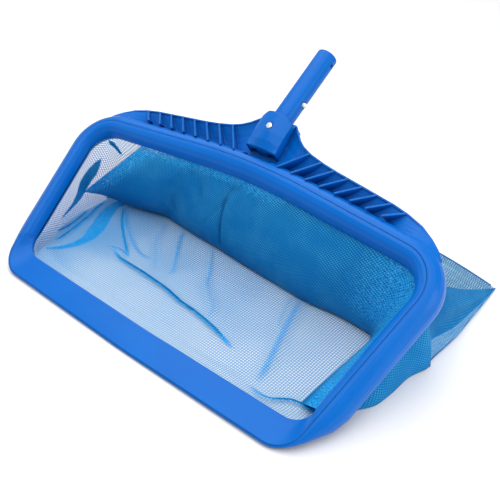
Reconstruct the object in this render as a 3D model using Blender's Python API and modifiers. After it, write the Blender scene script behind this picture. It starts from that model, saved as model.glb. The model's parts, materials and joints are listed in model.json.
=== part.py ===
"""Leaf skimmer net: a moulded scoop frame, a sewn mesh bag and a handle spigot with a V-spring clip.

The rigid frame is modelled in its own mouth frame (X to the right, Y from the lip towards the
handle, Z out of the mouth) and then stood on its lip, the way it rests on a floor with the bag
lying behind it. Lengths are in metres.
"""
import math

import bmesh
import bpy
from mathutils import Vector

MM = 0.001

# --- resting pose ---
TILT = math.radians(32.0)            # the mouth plane leans back by this much from the floor

# --- parting line between scoop ring and frame body, right half, counted from the lip centre ---
LIP_FRONT = (0.0, 0.6 * MM)
LIP_CORNER = (238.6 * MM, 4.0 * MM)
REAR_CORNER = (279.0 * MM, 250.0 * MM)
REAR_CENTRE = (0.0, 278.0 * MM)
PARTING_RADII = (1500.0 * MM, 34.0 * MM, 45.0 * MM, 900.0 * MM)

# --- clear opening inside the ring, right half ---
MOUTH_FRONT = (0.0, 34.5 * MM)
MOUTH_LIP_CORNER = (232.0 * MM, 37.0 * MM)
MOUTH_REAR_CORNER = (264.8 * MM, 235.0 * MM)
MOUTH_REAR_CENTRE = (0.0, 258.0 * MM)
MOUTH_RADII = (1500.0 * MM, 26.0 * MM, 32.0 * MM, 900.0 * MM)

ARC_STEPS = (4, 10, 12, 10)          # steps round lip centre, lip corner, rear corner, rear centre
STRAIGHT_STEPS = (6, 9, 4)           # steps along half lip, arm, half rear bar
STEP_ROOM = 0.02                     # least share of a straight run between two of its points

# --- loop section ---
GAP = 0.3 * MM                       # clearance between touching pieces
SKIN = 2.6 * MM                      # moulded wall
ARM_FLANK_DEPTH = 16.0 * MM          # how deep the inner flank goes on the arms
REAR_FLANK_EXTRA = 2.0 * MM          # extra depth of that flank on the rear bar
ARM_WIDTH = 17.0 * MM                # outer wall, measured outward from the parting line
ARM_DEPTH = 28.0 * MM
SHELF_DROP, SHELF_WALL = 4.2 * MM, 2.7 * MM    # shelf under the ring, below the flank's edge
BLEND_START, BLEND_END = 8.0 * MM, 68.0 * MM   # the flat blade turns into the arm section here

# --- web, fins and rim behind the rear bar ---
WEB_ROOT = 13.6 * MM                 # the web starts this far out, inside the body's outer wall
WEB_WALL = 3.0 * MM
WEB_DEEP, WEB_SHALLOW = -16.0 * MM, -9.0 * MM  # its height along the bar: between the fins, and past them
WEB_SHALLOW_FROM, WEB_SHALLOW_TO = 195.0 * MM, 225.0 * MM
WEB_HOLLOW = 2.2                     # how strongly the floor between the fins curves up to the rim
WEB_SHARES = (0.0, 0.3, 0.55, 0.78, 1.0)
RIM_TOP_INNER, RIM_TOP_OUTER = -3.7 * MM, -14.0 * MM     # the rim falls away towards the rear corners
RIM_WALL, RIM_LIP, RIM_DEPTH = 1.6 * MM, 0.6 * MM, 4.5 * MM
RIM_PROUD = 0.5 * MM                 # the rim stands out past the web's edge
RIM_HALF = [(267, 257.5), (258, 267), (247, 275.2), (230, 284.8), (209, 291.6), (189, 295.7), (148, 301),
            (106, 306.2), (84, 309.8), (63, 314.8), (50, 320), (40, 326.5), (31, 335), (24, 342.5)]
FIN_COUNT = 8                        # on each side of the socket
FIN_WALL = 2.4 * MM
FIN_FIRST = (35.0 * MM, 281.8 * MM)  # root of the fin next to the socket
FIN_LAST = (186.5 * MM, 274.2 * MM)  # root of the outermost fin
FIN_TIP_FIRST_X, FIN_TIP_LAST_X = 62.0 * MM, 206.5 * MM
FIN_TOP_ROOT = -1.2 * MM
FIN_PROUD = 0.9 * MM                 # a fin's tip stands this much above the rim
FIN_FOOT_SHIFT = 5.0 * MM            # a fin's foot starts this much further out than its top

# --- socket ---
SOCKET_HALF = 23.0 * MM
SOCKET_FRONT, SOCKET_REAR = 294.5 * MM, 343.0 * MM
SOCKET_TOPS = [(294.5, -0.7, 2.2), (305, 1.6, 8.4), (316, 3.5, 12.0), (343, 5.5, 14.3)]  # y, side, crown
SOCKET_BOTTOM = -22.0 * MM
SOCKET_CHAMFER = (8.0 * MM, 6.0 * MM)
SLOT_INNER, SLOT_OUTER = 8.0 * MM, 19.0 * MM     # relief slots in the front wall
SLOT_LOW, SLOT_HIGH = -15.0 * MM, -6.0 * MM
SLOT_DEPTH = 13.0 * MM
RECESS_HALF, RECESS_FRONT, RECESS_FLOOR = 22.0 * MM, 282.5 * MM, -14.0 * MM  # cut in the bar's shoulder
RECESS_BITE = 0.6 * MM

# --- handle tube ---
TUBE_AXIS_Z = -4.0 * MM
TUBE_RADIUS = 14.0 * MM
TUBE_BORE = 11.8 * MM
TUBE_START = 316.0 * MM              # the socket is solid in front of this
TUBE_END = 451.0 * MM
TUBE_EDGE = 0.9 * MM
DRAIN_RADIUS, DRAIN_Y = 2.5 * MM, 439.0 * MM

# --- socket screw and nut ---
SCREW_Y = 323.0 * MM
SCREW_SEAT_Z, SCREW_SEAT_RADIUS = 11.6 * MM, 4.7 * MM    # shallow seat sunk into the socket's crown
SCREW_RADIUS = 2.0 * MM
SCREW_HOLE = 2.35 * MM
SCREW_HEAD_RADIUS, SCREW_HEAD_HEIGHT = 4.1 * MM, 2.3 * MM
SCREW_SLOT_WIDTH, SCREW_SLOT_DEPTH = 1.1 * MM, 1.1 * MM
SCREW_TIP_Z = -27.2 * MM
NUT_ACROSS_CORNERS, NUT_HEIGHT = 8.1 * MM, 3.2 * MM

# --- V-spring clip ---
BUTTON_Y = 373.5 * MM
BUTTON_RADIUS, BUTTON_HOLE = 3.2 * MM, 4.1 * MM
BUTTON_REACH = 17.6 * MM             # crown of the button, measured from the tube axis
SPRING_THICKNESS, SPRING_WIDTH = 0.8 * MM, 8.0 * MM
BEND_Y, BEND_RADIUS = 424.0 * MM, 4.6 * MM
LEG_TIP_Y, LEG_TIP_X = 365.5 * MM, 10.4 * MM
RIVET_RADIUS, RIVET_HOLE, RIVET_HEAD = 1.2 * MM, 1.55 * MM, 2.2 * MM
RIVET_HEAD_HEIGHT = 0.7 * MM

# --- screws that clamp the ring to the body from below ---
CLAMP_PLACES = [(255, 95), (269, 185), (180, 260), (80, 271)]    # right half, on the parting line
CLAMP_INSET = 3.7 * MM
CLAMP_RADIUS, CLAMP_HOLE = 1.35 * MM, 1.7 * MM
CLAMP_HEAD_RADIUS, CLAMP_HEAD_HEIGHT = 2.8 * MM, 1.9 * MM
CLAMP_LENGTH, CLAMP_HOLE_LENGTH = 15.0 * MM, 16.0 * MM

# --- bag, in the resting pose, lengths measured back from the lip ---
CLOTH = 1.2 * MM                     # thickness of the soft solids
SPLINE_RADIUS = 1.1 * MM             # cord sewn into the mouth hem
SPLINE_INSET, SPLINE_LIP_Z = 2.0 * MM, -18.3 * MM
SEAM_RADIUS = 1.2 * MM
FLOOR_Z = 0.75 * MM                  # middle of the cloth that lies on the floor
BAG_END = 424.0 * MM                 # closed end, at the middle
BAG_TIP = (263.0 * MM, 374.0 * MM)   # the two far corners
BAG_FOLD_Y = 187.0 * MM              # where the back panel meets the floor
BAG_SIDE_END = 238.0 * MM            # where the side wall has come down to the floor
BAG_WIDTHS = [(40, 212), (60, 231), (95, 249), (206, 268), (240, 262), (300, 261), (374, 263)]
LIP_STOPS = (0.0, 9.0 * MM, 20.0 * MM, 38.0 * MM)         # cross rows just behind the lip, from the hem
SIDE_STOPS = (110.0 * MM, 145.0 * MM, 178.0 * MM)         # cross rows below the arms
END_STOPS = (275.0 * MM, 315.0 * MM, 350.0 * MM, 385.0 * MM, 408.0 * MM)     # cross rows of the flat end
SIDE_LEAN = 2.0 * MM                 # how far the side walls sag inward
SIDE_FOLD = 9.0 * MM                 # the side wall turns into the floor over this width
FLOOR_SHARES = (1.0, 0.8, 0.6, 0.4, 0.2)
BACK_SHARES = (1.0, 0.93, 0.84, 0.72, 0.56, 0.38, 0.19)   # columns of the back panel, right half
BACK_DROPS = (0.0, 0.3, 0.62, 0.85, 0.985)       # rows of the hanging back panel
BACK_INSET = 4.5 * MM                # the back panel ends this far inside the rear corners of the hem
POCKET_RISE = 12.0 * MM              # how high the flattened end of the bag stands
POCKET_ROWS = ((0, 0), (0.08, 0.35), (0.25, 1), (0.48, 1), (0.7, 0.85), (0.86, 0.5), (0.96, 0.2), (1, 0))
BACK_EDGE = 256.0 * MM               # half width of the back and end panels where they lie down


def clear_scene():
    for obj in list(bpy.data.objects):
        bpy.data.objects.remove(obj, do_unlink=True)


def material(name, colour, roughness, metallic):
    mat = bpy.data.materials.new(name)
    mat.use_nodes = True
    shader = mat.node_tree.nodes["Principled BSDF"]
    shader.inputs["Base Color"].default_value = (*colour, 1.0)
    shader.inputs["Roughness"].default_value = roughness
    shader.inputs["Metallic"].default_value = metallic
    mat.diffuse_color = (*colour, 1.0)
    return mat


def new_collection(name):
    coll = bpy.data.collections.new(name)
    bpy.context.scene.collection.children.link(coll)
    return coll


def smoothstep(value):
    value = min(1.0, max(0.0, value))
    return value * value * (3.0 - 2.0 * value)


def interpolate(table, value):
    """Piecewise linear look-up in a list of (key, result) pairs."""
    for (k0, r0), (k1, r1) in zip(table, table[1:]):
        if value <= k1:
            share = max(0.0, (value - k0) / (k1 - k0))
            return r0 + (r1 - r0) * share
    return table[-1][1]


# ---------------------------------------------------------------- building blocks

def add_mesh(name, verts, faces, coll, mat=None, parent=None, location=(0, 0, 0), edges=()):
    mesh = bpy.data.meshes.new(name)
    mesh.from_pydata([tuple(v) for v in verts], edges, faces)
    bm = bmesh.new()
    bm.from_mesh(mesh)
    bmesh.ops.recalc_face_normals(bm, faces=bm.faces)
    bm.to_mesh(mesh)
    bm.free()
    obj = bpy.data.objects.new(name, mesh)
    coll.objects.link(obj)
    obj.location = location
    obj.parent = parent
    if mat:
        mesh.materials.append(mat)
    return obj


def loft(rings):
    """Vertices and faces of a closed solid through outlines with the same number of points."""
    n, last = len(rings[0]), (len(rings) - 1) * len(rings[0])
    faces = [list(range(n))[::-1], [last + i for i in range(n)]]
    for base in range(0, last, n):
        faces += [[base + i, base + (i + 1) % n, base + n + (i + 1) % n, base + n + i] for i in range(n)]
    return [point for ring in rings for point in ring], faces


def prism(lower, upper):
    return loft([lower, upper])


def merged(solids):
    """Joins (verts, faces) pairs into one pair."""
    verts, faces = [], []
    for v, f in solids:
        base = len(verts)
        verts += v
        faces += [[base + i for i in face] for face in f]
    return verts, faces


def cylinder(start, end, radius, segments=32):
    """Closed cylinder from start to end, as (verts, faces)."""
    start, end = Vector(start), Vector(end)
    axis = (end - start).normalized()
    side = axis.orthogonal().normalized()
    other = axis.cross(side)
    ring = [side * math.cos(a) * radius + other * math.sin(a) * radius
            for a in (2 * math.pi * i / segments for i in range(segments))]
    return prism([start + r for r in ring], [end + r for r in ring])


def box(low, high):
    (x0, y0, z0), (x1, y1, z1) = low, high
    flat = [(x0, y0), (x1, y0), (x1, y1), (x0, y1)]
    return prism([(x, y, z0) for x, y in flat], [(x, y, z1) for x, y in flat])


def split_to_triangles(mesh):
    """Leaves only flat faces, which the exact Boolean needs."""
    bm = bmesh.new()
    bm.from_mesh(mesh)
    bmesh.ops.triangulate(bm, faces=bm.faces)
    bm.to_mesh(mesh)
    bm.free()


def cutter(name, solid, parent):
    obj = add_mesh(name, *solid, CUTTERS, parent=parent)
    split_to_triangles(obj.data)
    obj.hide_render = True
    obj.display_type = 'WIRE'
    return obj


def boolean(obj, tool, operation):
    mod = obj.modifiers.new(operation.title() + "_" + tool.name, 'BOOLEAN')
    mod.operation = operation
    mod.solver = 'EXACT'
    mod.object = tool


def bevel(obj, width, segments=2, angle=40.0):
    mod = obj.modifiers.new("Bevel", 'BEVEL')
    mod.width = width
    mod.segments = segments
    mod.limit_method = 'ANGLE'
    mod.angle_limit = math.radians(angle)
    mod.use_clamp_overlap = True
    return mod


def smooth(obj, angle=35.0):
    obj.data.shade_smooth()
    obj.data.set_sharp_from_angle(angle=math.radians(angle))


def turned(name, profile, steps, coll, mat, parent, location=(0, 0, 0), rotation=(0, 0, 0)):
    """Screw-modifier solid of revolution about its own Z from a profile at +X, top to bottom."""
    obj = add_mesh(name, [(r, 0.0, z) for r, z in profile], [], coll, mat, parent, location,
                   edges=[(i, i + 1) for i in range(len(profile) - 1)])
    obj.rotation_euler = rotation
    screw = obj.modifiers.new("Screw", 'SCREW')
    screw.axis = 'Z'
    screw.steps = steps
    screw.render_steps = steps
    screw.use_merge_vertices = True
    screw.merge_threshold = 0.00001
    screw.use_smooth_shade = False
    return obj


# ---------------------------------------------------------------- the closed loop

def rounded_loop(corners, radii, arc_steps, straight_steps, facing=None):
    """Points and outward normals round a mirror-symmetric loop with filleted corners.

    corners, radii and arc_steps list lip centre, lip corner, rear corner and rear centre of the
    right half; the left half repeats the two corners mirrored. With a facing loop, the points of
    the straight runs are set square opposite to that loop's points.
    """
    order = [0, 1, 2, 3, 2, 1]
    sign = [1, 1, 1, 1, -1, -1]
    pts = [Vector((corners[k][0] * s, corners[k][1])) for k, s in zip(order, sign)]
    straights = [straight_steps[k] for k in (0, 1, 2, 2, 1, 0)]
    arcs = []
    for i, k in enumerate(order):
        before = (pts[i] - pts[i - 1]).normalized()
        after = (pts[(i + 1) % 6] - pts[i]).normalized()
        turn = math.atan2(before.x * after.y - before.y * after.x, before.dot(after))
        start = pts[i] - before * (radii[k] * math.tan(turn / 2))
        centre = start + Vector((-before.y, before.x)) * radii[k]
        first = math.atan2(start.y - centre.y, start.x - centre.x)
        arc = []
        for step in range(arc_steps[k] + 1):
            a = first + turn * step / arc_steps[k]
            normal = Vector((math.cos(a), math.sin(a)))
            arc.append((centre + normal * radii[k], normal))
        arcs.append(arc)
    loop = []
    for i, arc in enumerate(arcs):
        loop += arc
        (p0, n0), (p1, _) = arc[-1], arcs[(i + 1) % 6][0]
        for s in range(1, straights[i]):
            share = s / straights[i]
            if facing:
                opposite = facing[len(loop)][0]
                least = STEP_ROOM * s
                share = (opposite - p0).dot(p1 - p0) / (p1 - p0).length_squared
                share = max(least, min(1 - STEP_ROOM * (straights[i] - s), share))
            loop.append((p0.lerp(p1, share), n0))
    return loop


PARTING = rounded_loop((LIP_FRONT, LIP_CORNER, REAR_CORNER, REAR_CENTRE), PARTING_RADII,
                       ARC_STEPS, STRAIGHT_STEPS)
MOUTH = rounded_loop((MOUTH_FRONT, MOUTH_LIP_CORNER, MOUTH_REAR_CORNER, MOUTH_REAR_CENTRE),
                     MOUTH_RADII, ARC_STEPS, STRAIGHT_STEPS, PARTING)


def blade_to_arm(station):
    """0 on the flat lip, 1 once the section has become the rounded arm."""
    return smoothstep((PARTING[station][0].y - BLEND_START) / (BLEND_END - BLEND_START))


def flank_depth(station):
    return ARM_FLANK_DEPTH + REAR_FLANK_EXTRA * smoothstep(PARTING[station][1].y / 0.9)


def flank_width(station):
    return (MOUTH[station][0] - PARTING[station][0]).length


def place(station, out, height):
    """Mouth-frame point at a section's (out, height); out is negative towards the opening."""
    point, normal = PARTING[station]
    if out > 0:
        flat = point + normal * out
    else:
        flat = point.lerp(MOUTH[station][0], -out / flank_width(station))
    return Vector((flat.x, flat.y, height))


def mixed(blade, arm, share):
    return [(a[0] + (b[0] - a[0]) * share, a[1] + (b[1] - a[1]) * share) for a, b in zip(blade, arm)]


def in_mm(section):
    return [(u * MM, z * MM) for u, z in section]


def ring_section(station):
    """Closed section of the scoop ring: top skin, inner edge, underside and clamping leg."""
    f, d = flank_width(station) / MM, flank_depth(station) / MM
    leg = d + SHELF_DROP / MM - 0.3
    arm = [(-0.15, 0), (-0.25 * f, 0.3), (-0.55 * f, -1.4), (-0.82 * f, -0.35 * d), (-0.95 * f, -0.66 * d),
           (-f, -d), (-f + 2.6, -d), (-0.95 * f + 2.7, -0.66 * d), (-0.82 * f + 2.3, -0.45 * d),
           (-6.0, -3.6), (-6.0, -leg), (-1.4, -leg), (-1.4, -3.0), (-0.15, -3.0)]
    blade = [(-0.15, 0), (-0.25 * f, -3.6), (-0.55 * f, -8.2), (-0.82 * f, -12.4), (-0.95 * f, -14.3),
             (-f, -15.3), (-f + 0.6, -17.2), (-0.95 * f + 0.8, -16.4), (-0.82 * f + 1.2, -14.4),
             (-8.4, -6.0), (-8.2, -6.7), (-4.4, -5.0), (-4.2, -4.1), (-0.4, -1.9)]
    share = blade_to_arm(station)
    skin = mixed(in_mm(blade), in_mm(arm), share)
    lagging_leg = mixed(in_mm(blade), in_mm(arm), share ** 2)     # stays clear of the body's plate
    return skin[:9] + lagging_leg[9:13] + skin[13:]


def body_section(station):
    """Closed section of the frame body: rounded outer wall with a shelf under the ring."""
    f, d = flank_width(station) / MM, flank_depth(station) / MM
    w, h = ARM_WIDTH / MM, ARM_DEPTH / MM
    shelf, under = d + SHELF_DROP / MM, d + (SHELF_DROP + SHELF_WALL) / MM
    arm = [(0.15, 0), (0.24 * w, -0.6), (0.53 * w, -3.0), (0.79 * w, -7.5), (0.96 * w, -14), (w, -20),
           (0.98 * w, -h + 2), (0.9 * w, -h), (0.81 * w, -h + 1.6), (0.79 * w, -under),
           (-f + 3, -under), (-f + 3, -shelf), (0.74 * w, -shelf), (0.74 * w, -14.5),
           (0.61 * w, -9.2), (0.41 * w, -5.8), (0.2 * w, -3.6), (0.15, -3.0)]
    blade = [(0.15, 0), (0.7, -0.1), (1.25, -0.45), (1.6, -1.0), (1.75, -1.7), (1.7, -2.4), (1.4, -3.2),
             (0.8, -4.0), (-1.0, -5.3), (-4.0, -7.3), (-f + 8, -17.6), (-f + 8, -14.7),
             (-20, -11.9), (-13, -8.7), (-9, -7.3), (-3.9, -5.6), (-2.2, -3.5), (-0.1, -2.4)]
    return mixed(in_mm(blade), in_mm(arm), blade_to_arm(station))


def lofted_loop(section_at):
    """Closed solid swept round the loop through the section of every station."""
    count = len(PARTING)
    sections = [[place(s, u, z) for u, z in section_at(s)] for s in range(count)]
    n = len(sections[0])
    verts = [p for section in sections for p in section]
    faces = []
    for s in range(count):
        t = (s + 1) % count
        faces += [[s * n + i, s * n + (i + 1) % n, t * n + (i + 1) % n, t * n + i] for i in range(n)]
    return verts, faces


def standing(point, lift=0.0):
    """Mouth-frame point in the resting pose, still counted from the lip."""
    x, y, z = point
    return Vector((x, y * math.cos(TILT) - z * math.sin(TILT),
                   y * math.sin(TILT) + z * math.cos(TILT) + lift))


def rest_lift():
    """Raises the frame until the underside of its lip touches the floor."""
    return -min(standing(p).z for p in lofted_loop(body_section)[0])


LIFT = rest_lift()
LIP_Y = min(standing(p).y for p in lofted_loop(body_section)[0])
SEAM_AWAY = SEAM_RADIUS + CLOTH / 2 + 0.5 * MM           # from the bag's edge to the middle of its tape
REST_SHIFT = -(LIP_Y + BAG_END + SEAM_AWAY + SEAM_RADIUS) / 2                # centres the part on Y


# ---------------------------------------------------------------- frame body

def rim_points():
    right = [(x * MM, y * MM) for x, y in RIM_HALF]
    return [(-x, y) for x, y in right] + right[::-1]


def rim_y(x):
    return interpolate([(-px * MM, py * MM) for px, py in RIM_HALF], -abs(x))


def rim_height(x):
    near, far = RIM_HALF[-1][0] * MM, RIM_HALF[0][0] * MM
    return RIM_TOP_INNER + (RIM_TOP_OUTER - RIM_TOP_INNER) * (abs(x) - near) / (far - near)


BAR_BACK = sorted(((p + n * WEB_ROOT).to_tuple() for p, n in PARTING if n.y > 0.6))


def web_height(x, share):
    """Top of the web, from the bar's wall at share 0 to the rim at share 1."""
    filled = smoothstep((abs(x) - WEB_SHALLOW_FROM) / (WEB_SHALLOW_TO - WEB_SHALLOW_FROM))
    root = WEB_DEEP + (WEB_SHALLOW - WEB_DEEP) * filled
    return root + (rim_height(x) - root) * share ** (WEB_HOLLOW + (1.0 - WEB_HOLLOW) * filled)


def web_solid():
    """Curved floor between the rear bar and the rim."""
    rings = []
    for x, y in rim_points():
        bar_y = interpolate(BAR_BACK, x)
        top = [(x, bar_y + (y - bar_y) * t, web_height(x, t)) for t in WEB_SHARES]
        rings.append(top + [(px, py, z - WEB_WALL) for px, py, z in top[::-1]])
    return loft(rings)


def rim_solid():
    """Low lip that runs along the outer edge of the web."""
    rings = []
    outer = rim_points()
    for i, (x, y) in enumerate(outer):
        (x0, y0), (x1, y1) = outer[max(i - 1, 0)], outer[min(i + 1, len(outer) - 1)]
        outward = Vector((y0 - y1, x1 - x0)).normalized()
        outer_edge, inner_edge = Vector((x, y)) + outward * RIM_PROUD, Vector((x, y)) - outward * RIM_WALL
        high = rim_height(x) + RIM_LIP
        low = high - RIM_DEPTH
        rings.append([(*outer_edge, low), (*outer_edge, high), (*inner_edge, high), (*inner_edge, low)])
    return loft(rings)


def fin_solids():
    """Slanted fins from the rear bar to the rim, mirrored to both sides of the socket."""
    solids = []
    for i in range(FIN_COUNT):
        share = i / (FIN_COUNT - 1)
        root = Vector(FIN_FIRST).lerp(Vector(FIN_LAST), share)
        tip_x = FIN_TIP_FIRST_X + (FIN_TIP_LAST_X - FIN_TIP_FIRST_X) * share
        tip = Vector((tip_x, rim_y(tip_x) - RIM_WALL * 0.3))
        along = (tip - root).normalized()
        across = Vector((-along.y, along.x)) * FIN_WALL / 2
        foot = root + along * FIN_FOOT_SHIFT
        tip_top = rim_height(tip_x) + RIM_LIP + FIN_PROUD
        for side in (1, -1):
            rings = []
            for t in WEB_SHARES:
                low, high = foot.lerp(tip, t), root.lerp(tip, t)
                bar_y = interpolate(BAR_BACK, low.x)
                reach = min(1.0, max(0.0, (low.y - bar_y) / (rim_y(low.x) - bar_y)))
                bottom = web_height(low.x, reach) - WEB_WALL / 2
                top = FIN_TOP_ROOT + (tip_top - FIN_TOP_ROOT) * t
                ring = [(low - across, bottom), (low + across, bottom),
                        (high + across, top), (high - across, top)]
                rings.append([(p.x * side, p.y, z) for p, z in ring])
            solids.append(loft(rings))
    return merged(solids)


def socket_solid():
    """Block that holds the tube: its crowned top climbs from the bar to the tube."""
    steps = 8
    rings = []
    for y, side, crown in SOCKET_TOPS:
        ring = [(-SOCKET_HALF, y * MM, SOCKET_BOTTOM), (SOCKET_HALF, y * MM, SOCKET_BOTTOM)]
        for i in range(steps + 1):
            x = 1 - 2 * i / steps
            ring.append((x * SOCKET_HALF, y * MM, (side + (crown - side) * (1 - x * x)) * MM))
        rings.append(ring)
    return loft(rings)


def socket_cuts():
    """Tube bore, screw seat, front recess, relief slots and rear corner chamfers of the socket."""
    above = max(crown for _, _, crown in SOCKET_TOPS) * MM + SKIN
    beyond = SOCKET_REAR + SKIN
    bore = cylinder((0, TUBE_START - GAP, TUBE_AXIS_Z), (0, beyond, TUBE_AXIS_Z), TUBE_RADIUS + GAP, 48)
    seat = cylinder((0, SCREW_Y, SCREW_SEAT_Z), (0, SCREW_Y, above), SCREW_SEAT_RADIUS, 32)
    recess = box((-RECESS_HALF, RECESS_FRONT, RECESS_FLOOR), (RECESS_HALF, SOCKET_FRONT + RECESS_BITE, above))
    solids = []
    cx, cy = SOCKET_CHAMFER
    for side in (1, -1):
        near, far = sorted((side * SLOT_INNER, side * SLOT_OUTER))
        solids.append(box((near, SOCKET_FRONT - SKIN, SLOT_LOW), (far, SOCKET_FRONT + SLOT_DEPTH, SLOT_HIGH)))
        outside = side * (SOCKET_HALF + SKIN)
        wedge = [(side * (SOCKET_HALF - cx), SOCKET_REAR), (side * SOCKET_HALF, SOCKET_REAR - cy),
                 (outside, SOCKET_REAR - cy), (outside, beyond), (side * (SOCKET_HALF - cx), beyond)]
        low = RIM_TOP_INNER + RIM_LIP + GAP
        solids.append(prism([(x, y, low) for x, y in wedge], [(x, y, above) for x, y in wedge]))
    return merged([bore, seat]), recess, merged(solids)


def clamp_stations():
    """Stations of the loop where a clamping screw sits, on both sides."""
    found = []
    for px, py in CLAMP_PLACES:
        for side in (1, -1):
            target = Vector((px * side * MM, py * MM))
            found.append(min(range(len(PARTING)), key=lambda s: (PARTING[s][0] - target).length))
    return found


def clamp_seat(station):
    """Point under the shelf where a clamping screw's head bears."""
    depth = flank_depth(station) + SHELF_DROP + SHELF_WALL
    return place(station, -CLAMP_INSET, -depth)


def clamp_holes():
    up = Vector((0, 0, CLAMP_HOLE_LENGTH))
    down = Vector((0, 0, SKIN))
    seats = [clamp_seat(s) for s in clamp_stations()]
    return merged([cylinder(p - down, p + up, CLAMP_HOLE, 16) for p in seats])


def build_frame_body(parent):
    body = add_mesh("frame_body", *lofted_loop(body_section), PARTS, PLASTIC, parent)
    split_to_triangles(body.data)
    for name, solid in (("web", web_solid()), ("rim", rim_solid()), ("fins", fin_solids()),
                        ("socket", socket_solid())):
        boolean(body, cutter("add_" + name, solid, parent), 'UNION')
    for name, solid in zip(("bores", "recess", "reliefs"), socket_cuts()):
        boolean(body, cutter("cut_" + name, solid, parent), 'DIFFERENCE')
    hole = cylinder((0, SCREW_Y, SOCKET_BOTTOM - SKIN), (0, SCREW_Y, SCREW_SEAT_Z + SKIN), SCREW_HOLE, 24)
    boolean(body, cutter("cut_screw", hole, parent), 'DIFFERENCE')
    boolean(body, CLAMP_CUTTER, 'DIFFERENCE')
    smooth(body)
    return body


def build_scoop_ring(parent):
    ring = add_mesh("scoop_ring", *lofted_loop(ring_section), PARTS, PLASTIC, parent)
    split_to_triangles(ring.data)
    boolean(ring, CLAMP_CUTTER, 'DIFFERENCE')
    smooth(ring)
    return ring


def build_clamp_screws(parent):
    """Self-tapping screws from below, each with its head under the body's shelf."""
    for number, station in enumerate(clamp_stations(), start=1):
        top, head = CLAMP_LENGTH, CLAMP_HEAD_HEIGHT
        profile = [(0.0, top), (CLAMP_RADIUS * 0.35, top), (CLAMP_RADIUS, top - 2.2 * MM),
                   (CLAMP_RADIUS, -GAP), (CLAMP_HEAD_RADIUS, -GAP), (CLAMP_HEAD_RADIUS, -GAP - head * 0.5),
                   (CLAMP_HEAD_RADIUS * 0.6, -GAP - head), (0.0, -GAP - head)]
        screw = turned("clamp_screw_%d" % number, profile, 20, PARTS, STEEL, parent, clamp_seat(station))
        smooth(screw)


# ---------------------------------------------------------------- handle tube and its fasteners

def build_handle_tube(parent):
    """Spigot that the telescopic pole slides over; its axis runs along the mouth frame's Y."""
    length = TUBE_END - TUBE_START
    edge = TUBE_EDGE
    profile = [(TUBE_BORE, length), (TUBE_RADIUS - edge, length),
               (TUBE_RADIUS - edge * 0.3, length - edge * 0.3), (TUBE_RADIUS, length - edge),
               (TUBE_RADIUS, edge), (TUBE_RADIUS - edge, 0.0), (TUBE_BORE, 0.0), (TUBE_BORE, length)]
    tube = turned("handle_tube", profile, 64, PARTS, PLASTIC, parent, (0, TUBE_START, TUBE_AXIS_Z),
                  (-math.pi / 2, 0, 0))
    reach = TUBE_RADIUS + SKIN
    holes = [cylinder((-reach, BUTTON_Y, TUBE_AXIS_Z), (reach, BUTTON_Y, TUBE_AXIS_Z), BUTTON_HOLE, 32),
             cylinder((-reach, DRAIN_Y, TUBE_AXIS_Z), (reach, DRAIN_Y, TUBE_AXIS_Z), DRAIN_RADIUS, 24),
             cylinder((0, SCREW_Y, TUBE_AXIS_Z - reach), (0, SCREW_Y, TUBE_AXIS_Z + reach), SCREW_HOLE, 24)]
    boolean(tube, cutter("cut_tube_holes", merged(holes), parent), 'DIFFERENCE')
    smooth(tube)
    return tube


def build_socket_screw(parent):
    """Slotted pan-head screw down through socket and tube, with a hexagon nut below."""
    seat = SCREW_SEAT_Z + GAP
    head, radius = SCREW_HEAD_HEIGHT, SCREW_HEAD_RADIUS
    tip = SCREW_TIP_Z - seat
    profile = [(0.0, head), (radius * 0.55, head * 0.97), (radius * 0.85, head * 0.75), (radius, head * 0.35),
               (radius, 0.0), (SCREW_RADIUS, 0.0), (SCREW_RADIUS, tip + 0.5 * MM),
               (SCREW_RADIUS - 0.5 * MM, tip), (0.0, tip)]
    screw = turned("socket_screw", profile, 32, PARTS, STEEL, parent, (0, SCREW_Y, seat))
    slot = box((-SCREW_SLOT_WIDTH / 2, SCREW_Y - radius * 1.5, seat + head - SCREW_SLOT_DEPTH),
               (SCREW_SLOT_WIDTH / 2, SCREW_Y + radius * 1.5, seat + head * 2))
    boolean(screw, cutter("cut_screw_slot", slot, parent), 'DIFFERENCE')
    smooth(screw)


def build_socket_nut(parent):
    top = SOCKET_BOTTOM - GAP
    hexagon = [Vector((math.cos(a), math.sin(a))) * NUT_ACROSS_CORNERS / 2
               for a in (math.radians(60 * i) for i in range(6))]
    solid = prism([(p.x, p.y + SCREW_Y, top - NUT_HEIGHT) for p in hexagon],
                  [(p.x, p.y + SCREW_Y, top) for p in hexagon])
    nut = add_mesh("socket_nut", *solid, PARTS, STEEL, parent)
    hole = cylinder((0, SCREW_Y, top - NUT_HEIGHT - SKIN), (0, SCREW_Y, top + SKIN), SCREW_HOLE, 24)
    boolean(nut, cutter("cut_nut", hole, parent), 'DIFFERENCE')
    bevel(nut, 0.3 * MM, 1, 50)


# ---------------------------------------------------------------- V-spring clip

def ribbon(path, thickness, width):
    """Flat strip along an XY path, centred on Z = 0, as (verts, faces)."""
    left, right = [], []
    for i, p in enumerate(path):
        before, after = path[max(i - 1, 0)], path[min(i + 1, len(path) - 1)]
        along = (after - before).normalized()
        across = Vector((-along.y, along.x)) * thickness / 2
        left.append(p + across)
        right.append(p - across)
    outline = left + right[::-1]
    return prism([(p.x, p.y, -width / 2) for p in outline], [(p.x, p.y, width / 2) for p in outline])


def build_spring_bend(parent):
    steps = 16
    path = [Vector((math.cos(a), math.sin(a))) * BEND_RADIUS
            for a in (math.pi * i / steps for i in range(steps + 1))]
    bend = add_mesh("spring_bend", *ribbon(path, SPRING_THICKNESS, SPRING_WIDTH), PARTS, SPRING_STEEL,
                    parent, (0, BEND_Y, TUBE_AXIS_Z))
    smooth(bend)


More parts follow.
